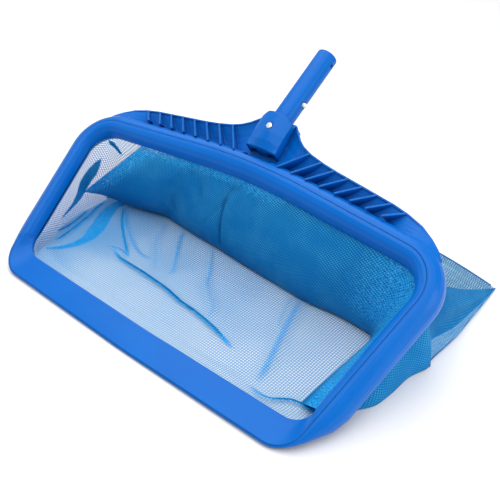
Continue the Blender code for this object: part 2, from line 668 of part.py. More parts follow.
def leg_line(y):
    """How far a spring leg stands from the tube axis at y."""
    share = (BEND_Y - y) / (BEND_Y - LEG_TIP_Y)
    return BEND_RADIUS + (LEG_TIP_X - BEND_RADIUS) * share


def build_spring_leg(side_name, side, parent):
    """One leg of the clip and the snap button riveted to it, turning about the bend's end."""
    pivot = bpy.data.objects.new("spring_pivot_" + side_name, None)
    PARTS.objects.link(pivot)
    pivot.parent = parent
    pivot.location = (side * BEND_RADIUS, BEND_Y, TUBE_AXIS_Z)
    pivot.empty_display_size = 0.01
    tip = Vector((side * (LEG_TIP_X - BEND_RADIUS), LEG_TIP_Y - BEND_Y))
    curl = tip + Vector((-side * 1.6 * MM, -2.0 * MM))
    start = tip.normalized() * GAP
    leg = add_mesh("spring_leg_" + side_name, *ribbon([start, tip, curl], SPRING_THICKNESS, SPRING_WIDTH),
                   PARTS, SPRING_STEEL, pivot)
    seat_x = side * (leg_line(BUTTON_Y) - BEND_RADIUS)
    seat_y = BUTTON_Y - BEND_Y
    reach = side * 4 * SPRING_THICKNESS
    hole = cylinder((seat_x - reach, seat_y, 0), (seat_x + reach, seat_y, 0), RIVET_HOLE, 20)
    boolean(leg, cutter("cut_rivet_" + side_name, hole, pivot), 'DIFFERENCE')
    outer = SPRING_THICKNESS / 2 + GAP + 0.35 * MM
    crown = BUTTON_REACH - leg_line(BUTTON_Y)
    profile = [(0.0, crown), (BUTTON_RADIUS * 0.45, crown - 0.3 * MM),
               (BUTTON_RADIUS * 0.8, crown - 1.0 * MM), (BUTTON_RADIUS, crown - 2.3 * MM),
               (BUTTON_RADIUS, outer), (RIVET_RADIUS, outer),
               (RIVET_RADIUS, -outer), (RIVET_HEAD, -outer), (RIVET_HEAD, -outer - RIVET_HEAD_HEIGHT),
               (0.0, -outer - RIVET_HEAD_HEIGHT)]
    button = turned("snap_button_" + side_name, profile, 28, PARTS, ACETAL, pivot, (seat_x, seat_y, 0),
                    (0, side * math.pi / 2, 0))
    smooth(button)


# ---------------------------------------------------------------- bag

def hem_point(station, lift):
    """Where the cloth leaves the frame, in the resting pose."""
    share = blade_to_arm(station)
    f = flank_width(station)
    out = -f - 1.2 * MM + 2.2 * MM * share
    height = -18.9 * MM + (18.9 * MM - flank_depth(station) - 1.2 * MM) * share
    return standing(place(station, out, height), lift)


def right_hem():
    """Hem points of the right half, from the lip centre round to the rear centre."""
    last = next(s for s in range(len(PARTING)) if PARTING[s][1].x < 0 < PARTING[s][0].y - LIP_CORNER[1] * 2)
    return [hem_point(s, LIFT) for s in range(ARC_STEPS[0] // 2, last)]


def hem_tables():
    """Look-up tables of the hem: along the arm by y, and along the rear bar by x."""
    hem = right_hem()
    corner = max(range(len(hem)), key=lambda i: hem[i].x + hem[i].y * 0.8)
    arm = [p for p in hem[:corner + 1] if p.x > 205 * MM]
    rear = sorted(hem[corner:], key=lambda p: p.x)
    return arm, rear


def half_width(y):
    return interpolate([(k * MM, w * MM) for k, w in BAG_WIDTHS], y)


def end_curve(y, x):
    """Bends the last rows of the bag so that its end bows out between the two far corners."""
    tip_x, tip_y = BAG_TIP
    share = smoothstep((y - BAG_SIDE_END) / (BAG_END - BAG_SIDE_END))
    return y - (BAG_END - tip_y) * share * min(1.0, abs(x) / tip_x) ** 2.4


def cloth_object(name, rows):
    """Thin closed solid along rows of points; the rows are a coarse cage."""
    count = len(rows[0])
    verts = [p for row in rows for p in row]
    faces = [[j * count + i, j * count + i + 1, (j + 1) * count + i + 1, (j + 1) * count + i]
             for j in range(len(rows) - 1) for i in range(count - 1)]
    obj = add_mesh(name, verts, faces, PARTS, MESH_CLOTH, REST)
    solid = obj.modifiers.new("Solidify", 'SOLIDIFY')
    solid.thickness = CLOTH
    solid.offset = 0.0
    smooth(obj, 60)
    return obj


def floor_panel_rows(arm):
    """Cross rows of the sheet that lies on the floor and comes up to both arms."""
    by_y = sorted(((p.y, p.x, p.z) for p in arm))
    x_at = [(y, x) for y, x, _ in by_y]
    z_at = [(y, z) for y, _, z in by_y]
    start, side_end = by_y[0][0], by_y[-1][0]
    stops = [start + step for step in LIP_STOPS] + [*SIDE_STOPS, side_end]
    stops += [BAG_SIDE_END - 1.5 * SIDE_FOLD, BAG_SIDE_END, *END_STOPS, BAG_END]
    rows = []
    for y in stops:
        foot = half_width(y)
        fall = smoothstep((y - start) / (30 * MM))
        flat = FLOOR_Z + (z_at[0][1] - FLOOR_Z) * (1 - fall)
        if y <= side_end:
            top_x, top_z = interpolate(x_at, y), interpolate(z_at, y)
        else:
            share = min(1.0, (y - side_end) / (BAG_SIDE_END - side_end))
            top_x = x_at[-1][1] + (foot - x_at[-1][1]) * share
            top_z = z_at[-1][1] + (FLOOR_Z - z_at[-1][1]) * share
        height = max(0.0, top_z - flat)
        if y == start:
            foot = top_x
        lean = SIDE_LEAN * min(1, height / (10 * SIDE_LEAN))
        side = [(top_x, top_z), ((top_x + foot) / 2 - lean, flat + height * 0.5),
                (foot - lean, flat + height * 0.12)]
        floor = [((foot - SIDE_FOLD) * s, flat) for s in FLOOR_SHARES]
        if y > side_end and height < CLOTH:
            side = [(foot - SIDE_FOLD * i / 3, flat) for i in range(3)]
        half = side + floor
        full = half + [(0.0, flat)] + [(-x, z) for x, z in half[::-1]]
        rows.append([Vector((x, end_curve(y, x), z)) for x, z in full])
    return rows


def fold_y(x):
    """Where the hanging panel meets the floor and turns back."""
    return BAG_FOLD_Y + (BAG_SIDE_END - BAG_FOLD_Y + 4 * MM) * min(1.0, abs(x) / BACK_EDGE) ** 7


SPREAD = [-s for s in BACK_SHARES] + [0.0] + list(BACK_SHARES[::-1])
POCKET_LOW = FLOOR_Z + CLOTH + 1.6 * MM


def back_panel_rows(rear):
    """Rows of the sheet that hangs from the rear bar down to the fold."""
    edge = rear[-1].x - BACK_INSET
    y_at = [(p.x, p.y) for p in rear]
    z_at = [(p.x, p.z) for p in rear]
    rows = []
    for drop in BACK_DROPS:
        row = []
        for s in SPREAD:
            x = s * (edge + 3 * MM * drop)
            top_y, top_z = interpolate(y_at, abs(x)), interpolate(z_at, abs(x)) - 1.0 * MM
            y = top_y + (fold_y(x) - top_y) * drop
            z = top_z + (POCKET_LOW + 3 * MM - top_z) * drop
            row.append(Vector((x, y, z)))
        rows.append(row)
    return rows


def end_panel_rows():
    """Rows of the upper layer of the bag's flat end, from the fold to the closed end."""
    rows = []
    for y_stop, rise in POCKET_ROWS:
        row = []
        for s in SPREAD:
            x = s * BACK_EDGE
            base = fold_y(x)
            y = base + (end_curve(BAG_END, x) - 3 * MM - base) * y_stop
            bulge = POCKET_RISE * rise * (1 - abs(s) ** 3)
            row.append(Vector((x, y, POCKET_LOW + bulge)))
        rows.append(row)
    return rows


def tube_curve(name, points, radius, cyclic=False, mat=None, parent=None):
    """Round cord along points, as a POLY curve with filled caps."""
    data = bpy.data.curves.new(name, 'CURVE')
    data.dimensions = '3D'
    data.bevel_depth = radius
    data.bevel_resolution = 2
    data.use_fill_caps = True
    spline = data.splines.new('POLY')
    spline.points.add(len(points) - 1)
    for point, co in zip(spline.points, points):
        point.co = (*co, 1.0)
    spline.use_cyclic_u = cyclic
    data.materials.append(mat)
    obj = bpy.data.objects.new(name, data)
    PARTS.objects.link(obj)
    obj.parent = parent
    return obj


def build_mouth_spline(parent):
    """Cord in the bag's mouth hem, gripped in the channel between ring and body."""
    points = []
    for s in range(len(PARTING)):
        share = blade_to_arm(s)
        out = -flank_width(s) + SPLINE_INSET * (1 + share ** 2)
        height = SPLINE_LIP_Z - (flank_depth(s) + SPLINE_INSET + SPLINE_LIP_Z) * share
        points.append(place(s, out, height))
    tube_curve("mouth_spline", points, SPLINE_RADIUS, True, SPLINE_CORD, parent)


def build_bag():
    arm, rear = hem_tables()
    floor_rows = floor_panel_rows(arm)
    cloth_object("net_floor_panel", floor_rows)
    cloth_object("net_back_panel", back_panel_rows(rear))
    cloth_object("net_end_panel", end_panel_rows())
    height = FLOOR_Z + CLOTH / 2 + SEAM_RADIUS + GAP
    sides = [row for row in floor_rows if row[0].y >= BAG_SIDE_END - 1 * MM]
    for name, column, side in (("seam_tape_right", 0, 1), ("seam_tape_left", -1, -1)):
        line = [Vector((row[column].x + side * SEAM_AWAY, row[column].y, height)) for row in sides[:-1]]
        tube_curve(name, line, SEAM_RADIUS, False, TAPE, REST)
    shares = [i / 20 - 1 for i in range(41)]
    end = [Vector((BACK_EDGE * s, end_curve(BAG_END, BACK_EDGE * s) + SEAM_AWAY, height)) for s in shares]
    tube_curve("seam_tape_end", end, SEAM_RADIUS, False, TAPE, REST)


# ---------------------------------------------------------------- assembly

clear_scene()
PARTS = new_collection("leaf_skimmer_net")
CUTTERS = new_collection("leaf_skimmer_net_cutters")

PLASTIC = material("blue_plastic", (0.004, 0.16, 0.72), 0.35, 0.0)
MESH_CLOTH = material("mesh_cloth", (0.01, 0.22, 0.52), 0.7, 0.0)
TAPE = material("seam_tape", (0.01, 0.16, 0.42), 0.8, 0.0)
SPLINE_CORD = material("spline_cord", (0.02, 0.05, 0.2), 0.6, 0.0)
STEEL = material("screw_steel", (0.72, 0.72, 0.72), 0.3, 1.0)
SPRING_STEEL = material("spring_steel", (0.6, 0.61, 0.63), 0.35, 1.0)
ACETAL = material("white_acetal", (0.9, 0.9, 0.9), 0.4, 0.0)

REST = bpy.data.objects.new("rest_frame", None)
PARTS.objects.link(REST)
REST.location = (0, REST_SHIFT, 0)
MOUTH_FRAME = bpy.data.objects.new("mouth_frame", None)
PARTS.objects.link(MOUTH_FRAME)
MOUTH_FRAME.parent = REST
MOUTH_FRAME.location = (0, 0, LIFT)
MOUTH_FRAME.rotation_euler = (TILT, 0, 0)

CLAMP_CUTTER = cutter("cut_clamp_holes", clamp_holes(), MOUTH_FRAME)
build_frame_body(MOUTH_FRAME)
build_scoop_ring(MOUTH_FRAME)
build_clamp_screws(MOUTH_FRAME)
build_handle_tube(MOUTH_FRAME)
build_socket_screw(MOUTH_FRAME)
build_socket_nut(MOUTH_FRAME)
build_spring_bend(MOUTH_FRAME)
build_spring_leg("right", 1, MOUTH_FRAME)
build_spring_leg("left", -1, MOUTH_FRAME)
build_mouth_spline(MOUTH_FRAME)
build_bag()
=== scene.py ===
"""Leaf skimmer net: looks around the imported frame.

The plastic and metal parts stay the CAD parts and get finished materials. The bag is rebuilt as
sheets of knitted mesh that hang from the mouth's hem, meet the floor and fold back behind the frame.
Lengths are in metres, and the points of outlines and fold lines are in millimetres. Places on the
bag are counted from the lip along the floor, as in the CAD.
"""
import json
import math

import bpy
import numpy as np
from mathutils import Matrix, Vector
from mathutils import noise

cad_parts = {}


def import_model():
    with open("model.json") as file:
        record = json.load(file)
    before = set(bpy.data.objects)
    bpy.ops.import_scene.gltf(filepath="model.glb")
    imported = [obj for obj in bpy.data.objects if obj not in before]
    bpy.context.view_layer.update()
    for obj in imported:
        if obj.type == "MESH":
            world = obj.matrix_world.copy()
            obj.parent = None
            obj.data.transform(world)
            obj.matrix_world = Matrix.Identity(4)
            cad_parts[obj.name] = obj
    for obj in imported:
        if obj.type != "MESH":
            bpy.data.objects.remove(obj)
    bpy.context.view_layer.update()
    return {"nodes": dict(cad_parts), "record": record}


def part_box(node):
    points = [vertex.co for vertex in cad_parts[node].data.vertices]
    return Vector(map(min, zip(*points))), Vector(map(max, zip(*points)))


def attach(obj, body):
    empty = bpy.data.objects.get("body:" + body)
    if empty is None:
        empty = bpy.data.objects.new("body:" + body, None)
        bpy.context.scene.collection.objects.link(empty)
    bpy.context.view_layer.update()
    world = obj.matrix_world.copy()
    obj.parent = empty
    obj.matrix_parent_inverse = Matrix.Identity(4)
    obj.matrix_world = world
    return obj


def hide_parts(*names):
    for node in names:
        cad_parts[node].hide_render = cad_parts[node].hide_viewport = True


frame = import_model()
NODES = frame["nodes"]
MM = 0.001
BODY = "skimmer"

# --- resting pose of the mouth, as in the CAD ---
TILT = math.radians(32.0)
FRONT_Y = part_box("frame_body")[0].y + 0.2 * MM     # where lengths along the floor are counted from
LIFT = 3.7 * MM

# --- hem of the bag: the clear opening inside the ring, in the mouth frame ---
HEM_CORNERS = [(0.0, 34.0), (231.0, 36.5), (265.8, 236.0), (0.0, 259.0)]    # right half
HEM_RADII = [1500.0, 27.0, 33.0, 900.0]
HEM_LIP_SPAN, HEM_REAR_SPAN = (40.0, 75.0), (215.0, 250.0)    # where its height changes along an arm
HEM_LIP_Z, HEM_ARM_Z, HEM_REAR_Z = -18.0 * MM, -17.6 * MM, -19.4 * MM
HEM_STEPS = 360

# --- bag on the floor ---
FLOOR_Z = 0.8 * MM
BAG_END = 424.0 * MM                 # the end seam's middle
CORNER_X, CORNER_Y = 279, 386        # the bag's far corners, in millimetres
END_BEND = 2.4                       # power of the curve from the middle of a row to its ends


# ---------------------------------------------------------------- small tools

def smoothstep(low, high, value):
    t = min(1.0, max(0.0, (value - low) / (high - low)))
    return t * t * (3.0 - 2.0 * t)


def mix(a, b, t):
    return a + (b - a) * t


def ramp_up(value, start, run):
    """0 up to the start, then evenly up to 1 over the run."""
    return np.clip((value - start) / run, 0.0, 1.0)


def ramp_down(value, end, run):
    """1 at first, then evenly down over the run to 0 at the end."""
    return np.clip((end - value) / run, 0.0, 1.0)


def table(pairs, value):
    """Look-up with straight steps in a list of (key, result) pairs."""
    for (k0, r0), (k1, r1) in zip(pairs, pairs[1:]):
        if value <= k1:
            return mix(r0, r1, (value - k0) / (k1 - k0))
    return pairs[-1][1]


def standing(x, y, z):
    """Mouth-frame point in the resting pose, y counted from the lip along the floor."""
    return Vector((x, y * math.cos(TILT) - z * math.sin(TILT),
                   y * math.sin(TILT) + z * math.cos(TILT) + LIFT))


def world(point):
    return Vector((point[0], point[1] + FRONT_Y, point[2]))


def in_metres(points):
    return [Vector(p) * MM for p in points]


def mirrored(points):
    return [Vector((-p.x, p.y, p.z)) for p in points]


def along(points, share):
    """Point at a share of the length of a polyline."""
    lengths = [(b - a).length for a, b in zip(points, points[1:])]
    goal = share * sum(lengths)
    for (a, b), length in zip(zip(points, points[1:]), lengths):
        if goal <= length:
            return a.lerp(b, goal / length if length else 0.0)
        goal -= length
    return points[-1].copy()


def evenly(points, count):
    """Array of evenly spaced points along a polyline."""
    pts = np.array([tuple(p) for p in points])
    steps = np.concatenate([[0.0], np.cumsum(np.linalg.norm(np.diff(pts, axis=0), axis=1))])
    goals = np.linspace(0.0, steps[-1], count)
    return np.stack([np.interp(goals, steps, pts[:, k]) for k in range(3)], axis=1)


def smooth_curve(points, steps):
    """Catmull-Rom curve through the points."""
    pts = [points[0]] + list(points) + [points[-1]]
    line = []
    for i in range(1, len(pts) - 2):
        p0, p1, p2, p3 = pts[i - 1:i + 3]
        for s in range(steps):
            t = s / steps
            line.append(0.5 * ((2 * p1) + (p2 - p0) * t + (2 * p0 - 5 * p1 + 4 * p2 - p3) * t * t
                               + (3 * p1 - p0 - 3 * p2 + p3) * t ** 3))
    return line + [points[-1].copy()]


def bezier(a, b, c, d, count):
    """Array of points on a cubic curve."""
    t = np.linspace(0.0, 1.0, count)[:, None]
    a, b, c, d = (np.array(p) for p in (a, b, c, d))
    return a * (1 - t) ** 3 + b * 3 * t * (1 - t) ** 2 + c * 3 * t * t * (1 - t) + d * t ** 3


def placed(name, data):
    """New object in the scene."""
    obj = bpy.data.objects.new(name, data)
    bpy.context.scene.collection.objects.link(obj)
    return obj


def quads(*corners):
    """Faces from four equal arrays of corner numbers."""
    return np.stack([c.ravel() for c in corners], axis=1)


def mesh_object(name, points, faces, material):
    """Smooth mesh through an array of points on the bag."""
    mesh = bpy.data.meshes.new(name)
    mesh.from_pydata([world(p) for p in points.reshape(-1, 3)], [], faces)
    mesh.materials.append(material)
    mesh.shade_smooth()
    return placed(name, mesh)


# ---------------------------------------------------------------- materials

class Graph:
    """Short-hand for building one node material."""

    def __init__(self, name):
        self.material = bpy.data.materials.new(name)
        self.material.use_nodes = True
        self.tree = self.material.node_tree
        self.shader = self.tree.nodes["Principled BSDF"]
        self.output = self.tree.nodes["Material Output"]
        self.place = self.node("ShaderNodeTexCoord").outputs["Object"]

    def node(self, kind, **values):
        made = self.tree.nodes.new(kind)
        for key, value in values.items():
            setattr(made, key, value)
        return made

    def link(self, source, target):
        if isinstance(source, bpy.types.NodeSocket):
            self.tree.links.new(source, target)
        elif target.type == 'RGBA':
            target.default_value = (*source, 1.0)
        else:
            target.default_value = source

    def math(self, operation, *inputs, clamp=False):
        made = self.node("ShaderNodeMath", operation=operation, use_clamp=clamp)
        for socket, value in zip(made.inputs, inputs):
            self.link(value, socket)
        return made.outputs[0]

    def noise(self, scale, detail=4.0, roughness=0.6):
        made = self.node("ShaderNodeTexNoise")
        self.link(self.place, made.inputs["Vector"])
        made.inputs["Scale"].default_value = scale
        made.inputs["Detail"].default_value = detail
        made.inputs["Roughness"].default_value = roughness
        return made.outputs["Fac"]

    def colours(self, factor, low, high):
        made = self.node("ShaderNodeMix", data_type='RGBA')
        self.link(factor, made.inputs[0])
        self.link(low, made.inputs[6])
        self.link(high, made.inputs[7])
        return made.outputs[2]

    def ramp(self, value, low, high):
        """0 at the low value and 1 at the high one, which may be the smaller of the two."""
        made = self.node("ShaderNodeMapRange", clamp=True)
        self.link(value, made.inputs[0])
        made.inputs[1].default_value, made.inputs[2].default_value = low, high
        return made.outputs[0]

    def net(self, across, down, pitch):
        """Distance to the nearest thread of a square net: 0.5 on a thread, 0 in the middle of a cell."""
        lines = []
        for place in (across, down):
            phase = self.math('FRACT', self.math('DIVIDE', place, pitch))
            lines.append(self.math('ABSOLUTE', self.math('SUBTRACT', phase, 0.5)))
        return self.math('MAXIMUM', *lines)

    def bump(self, height, strength, distance):
        made = self.node("ShaderNodeBump")
        self.link(height, made.inputs["Height"])
        made.inputs["Strength"].default_value = strength
        made.inputs["Distance"].default_value = distance
        self.link(made.outputs[0], self.shader.inputs["Normal"])
        return made

    def hollows(self, reach):
        """1 deep inside narrow hollows, 0 in the open: the mask for painted shade."""
        shade = self.node("ShaderNodeAmbientOcclusion", samples=8)
        shade.inputs["Distance"].default_value = reach
        return self.math('SUBTRACT', 1.0, self.ramp(shade.outputs["AO"], 0.25, 0.8))

    def rounded_normal(self, radius, samples):
        """Normal that turns softly over facets and edges within the radius."""
        bevel = self.node("ShaderNodeBevel", samples=samples)
        bevel.inputs["Radius"].default_value = radius
        return bevel.outputs[0]

    def edges(self, radius):
        """1 on edges, 0 on flats, from the angle between the true and a rounded normal."""
        true = self.node("ShaderNodeNewGeometry").outputs["Normal"]
        dot = self.node("ShaderNodeVectorMath", operation='DOT_PRODUCT')
        self.link(self.rounded_normal(radius, 4), dot.inputs[0])
        self.link(true, dot.inputs[1])
        return self.math('SUBTRACT', 1.0, dot.outputs["Value"], clamp=True)


HOLLOW_REACH = 14 * MM               # walls nearer than this darken a face with painted shade
EDGE_HIGHLIGHT_REACH = 0.8 * MM                # how far the paler painted highlight goes from an edge
FACET_REACH = 2.5 * MM               # how far the shading is softened over facets


def moulded_plastic():
    g = Graph("moulded_blue_plastic")
    cloud = g.ramp(g.noise(9.0, 3.0), 0.35, 0.65)
    grain = g.noise(900.0, 2.0, 0.5)
    base = g.colours(cloud, (0.0, 0.122, 0.50), (0.0, 0.134, 0.54))
    scuffs = g.ramp(g.noise(60.0, 8.0, 0.75), 0.62, 0.8)
    # painted highlight: edges are coloured paler, as if they catch the light
    painted_edge_highlight = g.math('MULTIPLY', g.edges(EDGE_HIGHLIGHT_REACH), 0.9, clamp=True)
    open_face = g.colours(painted_edge_highlight, base, (0.03, 0.20, 0.66))
    # painted shade: faces deep in narrow hollows are coloured darker
    shaded = g.colours(g.hollows(HOLLOW_REACH), open_face, (0.0, 0.05, 0.27))
    g.link(shaded, g.shader.inputs["Base Color"])
    rough = g.math('ADD', g.math('MULTIPLY', cloud, 0.05), g.math('MULTIPLY', scuffs, 0.08))
    g.link(g.math('ADD', rough, 0.28), g.shader.inputs["Roughness"])
    bump = g.bump(grain, 0.05, 0.2 * MM)
    g.link(g.rounded_normal(FACET_REACH, 6), bump.inputs["Normal"])
    g.shader.inputs["Specular IOR Level"].default_value = 0.15
    return g.material


def metal(name, colour, roughness, scale):
    g = Graph(name)
    streak = g.noise(scale, 6.0, 0.7)
    g.link(g.colours(streak, tuple(c * 0.8 for c in colour), colour), g.shader.inputs["Base Color"])
    g.link(g.math('ADD', g.math('MULTIPLY', streak, 0.2), roughness), g.shader.inputs["Roughness"])
    g.shader.inputs["Metallic"].default_value = 1.0
    g.bump(streak, 0.1, 0.1 * MM)
    return g.material


def white_acetal():
    g = Graph("white_acetal")
    cloud = g.noise(300.0, 3.0)
    g.link(g.colours(cloud, (0.82, 0.82, 0.80), (0.92, 0.92, 0.91)), g.shader.inputs["Base Color"])
    g.link(g.math('ADD', g.math('MULTIPLY', cloud, 0.1), 0.3), g.shader.inputs["Roughness"])
    g.bump(cloud, 0.05, 0.1 * MM)
    return g.material


def braided_cord(name, dark, light):
    g = Graph(name)
    weave = g.node("ShaderNodeTexWave", wave_type='BANDS', bands_direction='DIAGONAL')
    g.link(g.place, weave.inputs["Vector"])
    weave.inputs["Scale"].default_value = 500.0
    g.link(g.colours(weave.outputs["Fac"], dark, light), g.shader.inputs["Base Color"])
    g.shader.inputs["Roughness"].default_value = 0.75
    g.bump(weave.outputs["Fac"], 0.4, 0.3 * MM)
    return g.material


THREAD_PITCH = 3.3 * MM
THREAD_WANDER = 1.2 * MM             # how far a thread strays from its straight line
SKEW = 0.35                          # turn of the layer behind against the one in front
LACE = 1.5                           # how far two crossing layers break up into flecks
# colours of the knit as more layers lie on each other, darker partly from the depth of stacked knit and
# partly as painted shade, and of the specks of painted light where it gleams
BRIGHT_KNIT, DARK_KNIT, DEEP_KNIT = (0.0, 0.28, 0.74), (0.0, 0.155, 0.44), (0.0, 0.085, 0.27)
PAINTED_GLEAM = (0.09, 0.48, 0.72)


def knit_coordinates(g):
    """The sheet's own flat coordinates, with a slight wander."""
    flat = g.node("ShaderNodeUVMap", uv_map="flat").outputs[0]
    cloud = g.node("ShaderNodeTexNoise")
    g.link(flat, cloud.inputs["Vector"])
    cloud.inputs["Scale"].default_value = 25.0
    wander = g.node("ShaderNodeVectorMath", operation='MULTIPLY_ADD')
    g.link(cloud.outputs["Color"], wander.inputs[0])
    wander.inputs[1].default_value = (THREAD_WANDER, THREAD_WANDER, 0.0)
    g.link(flat, wander.inputs[2])
    split = g.node("ShaderNodeSeparateXYZ")
    g.link(wander.outputs[0], split.inputs[0])
    return split.outputs[0], split.outputs[1]


def knit_layers(g):
    """The sheet's "layers" attribute, broken up into flecks where two layers cross."""
    layers = g.node("ShaderNodeAttribute", attribute_name="layers").outputs["Fac"]
    between = g.math('MULTIPLY', g.ramp(layers, 0.2, 0.4), g.ramp(layers, 0.86, 0.7))
    uneven = g.math('SUBTRACT', g.noise(420.0, 2.0), 0.5)
    fleck = g.math('MULTIPLY', uneven, g.math('MULTIPLY', between, LACE))
    return g.math('ADD', layers, fleck, clamp=True)


def knit_specks(g, across, down, layers):
    """1 where specks of painted light show: the layer behind gleaming through the cells of the one in front.
    """
    skew_across = g.math('ADD', across, g.math('MULTIPLY', down, SKEW))
    skew_down = g.math('SUBTRACT', down, g.math('MULTIPLY', across, SKEW))
    behind = g.net(skew_across, skew_down, THREAD_PITCH)
    patchy = g.math('MULTIPLY', g.ramp(g.noise(22.0, 3.0), 0.4, 0.7), 0.45)
    thin = g.math('MULTIPLY', g.math('SUBTRACT', 1.0, layers, clamp=True), 1.7)
    speck = g.math('MULTIPLY', g.ramp(behind, 0.36, 0.2), g.math('ADD', patchy, thin, clamp=True))
    return g.math('MULTIPLY', speck, g.ramp(layers, 0.45, 0.6))


def knitted_mesh(name, cover, light):
    """Open knit: thin threads with see-through cells, which close where more layers lie on each other.

    The sheet's "layers" attribute runs from 0 on a single layer to 1 where folds lie on each other. The
    knit's colour darkens with it, partly from the depth of stacked knit and partly as painted shade.
    Cover is the share of a single layer that is thread, and light is its colour.
    """
    g = Graph(name)
    across, down = knit_coordinates(g)
    layers = knit_layers(g)
    hole = g.math('SUBTRACT', math.sqrt(1.0 - cover) / 2, g.math('MULTIPLY', layers, 0.5))
    thread = g.ramp(g.math('SUBTRACT', g.net(across, down, THREAD_PITCH), hole), -0.02, 0.05)
    tint = g.colours(g.noise(1400.0, 2.0), light, tuple(c * 0.86 for c in light))
    # darker as layers rise: partly the depth of stacked knit, partly painted shade
    colour = g.colours(g.ramp(layers, 0.0, 0.5), tint, BRIGHT_KNIT)
    colour = g.colours(g.ramp(layers, 0.5, 0.8), colour, DARK_KNIT)
    colour = g.colours(g.ramp(layers, 0.88, 1.0), colour, DEEP_KNIT)
    # painted light: lighter specks where light shows through the cells of dense knit
    colour = g.colours(knit_specks(g, across, down, layers), colour, PAINTED_GLEAM)
    g.link(colour, g.shader.inputs["Base Color"])
    g.shader.inputs["Roughness"].default_value = 0.55
    g.shader.inputs["Specular IOR Level"].default_value = 0.05
    g.bump(thread, 0.3, 0.25 * MM)
    clear = g.node("ShaderNodeBsdfTransparent")
    blend = g.node("ShaderNodeMixShader")
    g.link(thread, blend.inputs[0])
    g.link(clear.outputs[0], blend.inputs[1])
    g.link(g.shader.outputs[0], blend.inputs[2])
    g.link(blend.outputs[0], g.output.inputs["Surface"])
    return g.material


# ---------------------------------------------------------------- hem

def fillet_loop(corners, radii, step=2.0):
    """Points round a closed outline with rounded corners, in millimetres."""
    count = len(corners)
    line = []
    for i, radius in enumerate(radii):
        corner = corners[i]
        before = (corner - corners[i - 1]).normalized()
        after = (corners[(i + 1) % count] - corner).normalized()
        turn = math.atan2(before.x * after.y - before.y * after.x, before.dot(after))
        start = corner - before * radius * math.tan(turn / 2)
        centre = start + Vector((-before.y, before.x)) * radius
        first = math.atan2(start.y - centre.y, start.x - centre.x)
        steps = max(2, int(abs(turn) * radius / step))
        line += [centre + Vector((math.cos(a), math.sin(a))) * radius
                 for a in (first + turn * s / steps for s in range(steps + 1))]
    return line


def hem_line():
    """Right half of the hem, from the lip's centre to the rear bar's centre."""
    right = [Vector(p) for p in HEM_CORNERS]
    corners = right + [Vector((-p.x, p.y)) for p in (right[2], right[1])]
    loop = fillet_loop(corners, HEM_RADII + [HEM_RADII[2], HEM_RADII[1]])
    half = [p for p in loop if p.x > 0]
    lip = min(half, key=lambda p: p.x + p.y)
    start = half.index(lip)
    half = half[start:] + half[:start]
    middle_front, middle_rear = HEM_CORNERS[0][1], HEM_CORNERS[3][1]
    flat = [Vector((0, middle_front))] + [p for p in half if p.x > 4] + [Vector((0, middle_rear - 1.0))]
    points = []
    for p in flat:
        rear = smoothstep(*HEM_REAR_SPAN, p.y)
        front = 1 - smoothstep(*HEM_LIP_SPAN, p.y)
        height = HEM_ARM_Z + (HEM_REAR_Z - HEM_ARM_Z) * rear + (HEM_LIP_Z - HEM_ARM_Z) * front
        points.append(standing(p.x * MM, p.y * MM, height))
    return [along(points, i / HEM_STEPS) for i in range(HEM_STEPS + 1)]


HEM = hem_line()


def share_of_hem(test):
    """How far along the hem the first point that passes the test lies."""
    lengths = [0.0]
    for p, q in zip(HEM, HEM[1:]):
        lengths.append(lengths[-1] + (q - p).length)
    return lengths[next(i for i, p in enumerate(HEM) if test(p))] / lengths[-1]


def hem_between(first, last, steps=90):
    """Points of the right hem from one share of its length to another, evenly spaced."""
    return [along(HEM, mix(first, last, i / steps)) for i in range(steps + 1)]


# ---------------------------------------------------------------- cloth tools

THICK_AND_SHADED = 0.86                         # layers value of cloth that lies double; the back sheet and the right wall beside the arm also get it, partly as painted shade
SQUEEZE = (1.0, 1.0, 0.4)            # heights count less when looking for the nearest fold
CREASE_WIDTH = 0.42                  # width of a crease as a share of its ridge
SOFT_BORDER = 2.0 * MM               # border of a patch that lies double
STILL_BORDER = 8.0                   # rows along a sheet's border over which its ripples die out


def distance_to_line(grid, line):
    """Distance from every point of a grid to a polyline, and the share of the line where it is nearest."""
    best = np.full(grid.shape[:-1], 1e9)
    place = np.zeros(grid.shape[:-1])
    for i, (p, q) in enumerate(zip(line, line[1:])):
        p, q = np.array(p), np.array(q)
        run = q - p
        t = np.clip(((grid - p) @ run) / (run @ run), 0.0, 1.0)
        gap = np.linalg.norm(grid - p - t[..., None] * run, axis=-1)
        nearer = gap < best
        best = np.where(nearer, gap, best)
        place = np.where(nearer, (i + t) / (len(line) - 1), place)
    return best, place


def normals_of(grid):
    along_row = np.gradient(grid, axis=1)
    across = np.gradient(grid, axis=0)
    normal = np.cross(along_row, across)
    return normal / np.maximum(np.linalg.norm(normal, axis=-1, keepdims=True), 1e-9)


def folded(grid, layers, folds):
    """Raises ridges along the fold lines, and thickens and darkens the cloth in their creases, partly as
    painted shade.
    """
    up = normals_of(grid)
    lift = np.zeros(grid.shape[:-1])
    for line, width, height, crease in folds:
        path = np.array([tuple(p) for p in smooth_curve(in_metres(line), 6)])
        gap, place = distance_to_line(grid * SQUEEZE, path * SQUEEZE)
        fade = np.clip(np.minimum(place, 1.0 - place) * 5.0, 0.0, 1.0)
        lift += height * MM * np.exp(-(gap / (width * MM)) ** 2) * fade
        layers = layers + crease * np.exp(-(gap / (CREASE_WIDTH * width * MM)) ** 4) * fade
    return grid + up * lift[..., None], layers


